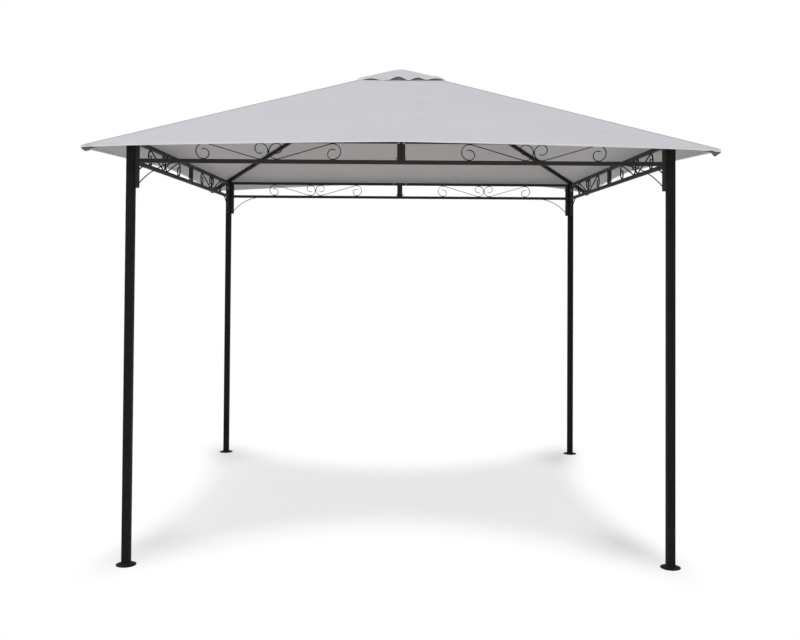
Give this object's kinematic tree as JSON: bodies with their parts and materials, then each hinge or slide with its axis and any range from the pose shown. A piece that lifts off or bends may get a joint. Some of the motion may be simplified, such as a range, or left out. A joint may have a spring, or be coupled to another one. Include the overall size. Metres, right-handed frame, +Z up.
{
  "type": "garden gazebo",
  "caption": "Open steel garden gazebo with square posts, scrollwork trusses, hip rafters and a pyramid cloth canopy with a vent cap.",
  "frame": {"origin": "on the ground, midway between the four posts", "axes": "+Z up along the roof's axis, +X and +Y square to the sides, with the front side at -Y"},
  "size_m": [3.04, 3.04, 2.7168],
  "materials": {
    "powder_coat": "satin charcoal powder coat",
    "canopy_cloth": "pale grey coated polyester",
    "pocket_cloth": "grey reinforcing cloth"
  },
  "bodies": {
    "root": {"post_front_left": "powder_coat", "post_front_right": "powder_coat", "post_back_right": "powder_coat", "post_back_left": "powder_coat", "foot_plate_front_left": "powder_coat", "foot_plate_front_right": "powder_coat", "foot_plate_back_right": "powder_coat", "foot_plate_back_left": "powder_coat", "hip_rafter_front_left": "powder_coat", "hip_rafter_front_right": "powder_coat", "hip_rafter_back_right": "powder_coat", "hip_rafter_back_left": "powder_coat", "truss_front_left": "powder_coat", "truss_front_right": "powder_coat", "truss_right_front": "powder_coat", "truss_right_back": "powder_coat", "truss_back_right": "powder_coat", "truss_back_left": "powder_coat", "truss_left_back": "powder_coat", "truss_left_front": "powder_coat", "scrollwork_front_left": "powder_coat", "scrollwork_front_right": "powder_coat", "scrollwork_right_front": "powder_coat", "scrollwork_right_back": "powder_coat", "scrollwork_back_right": "powder_coat", "scrollwork_back_left": "powder_coat", "scrollwork_left_back": "powder_coat", "scrollwork_left_front": "powder_coat", "corner_brace_front_left": "powder_coat", "corner_brace_front_right": "powder_coat", "corner_brace_right_front": "powder_coat", "corner_brace_right_back": "powder_coat", "corner_brace_back_right": "powder_coat", "corner_brace_back_left": "powder_coat", "corner_brace_left_back": "powder_coat", "corner_brace_left_front": "powder_coat", "crown_hub": "powder_coat", "crown_disc": "powder_coat", "canopy_front": "canopy_cloth", "canopy_right": "canopy_cloth", "canopy_back": "canopy_cloth", "canopy_left": "canopy_cloth", "vent_cap": "canopy_cloth", "corner_pockets": "pocket_cloth"}
  },
  "joints": []
}
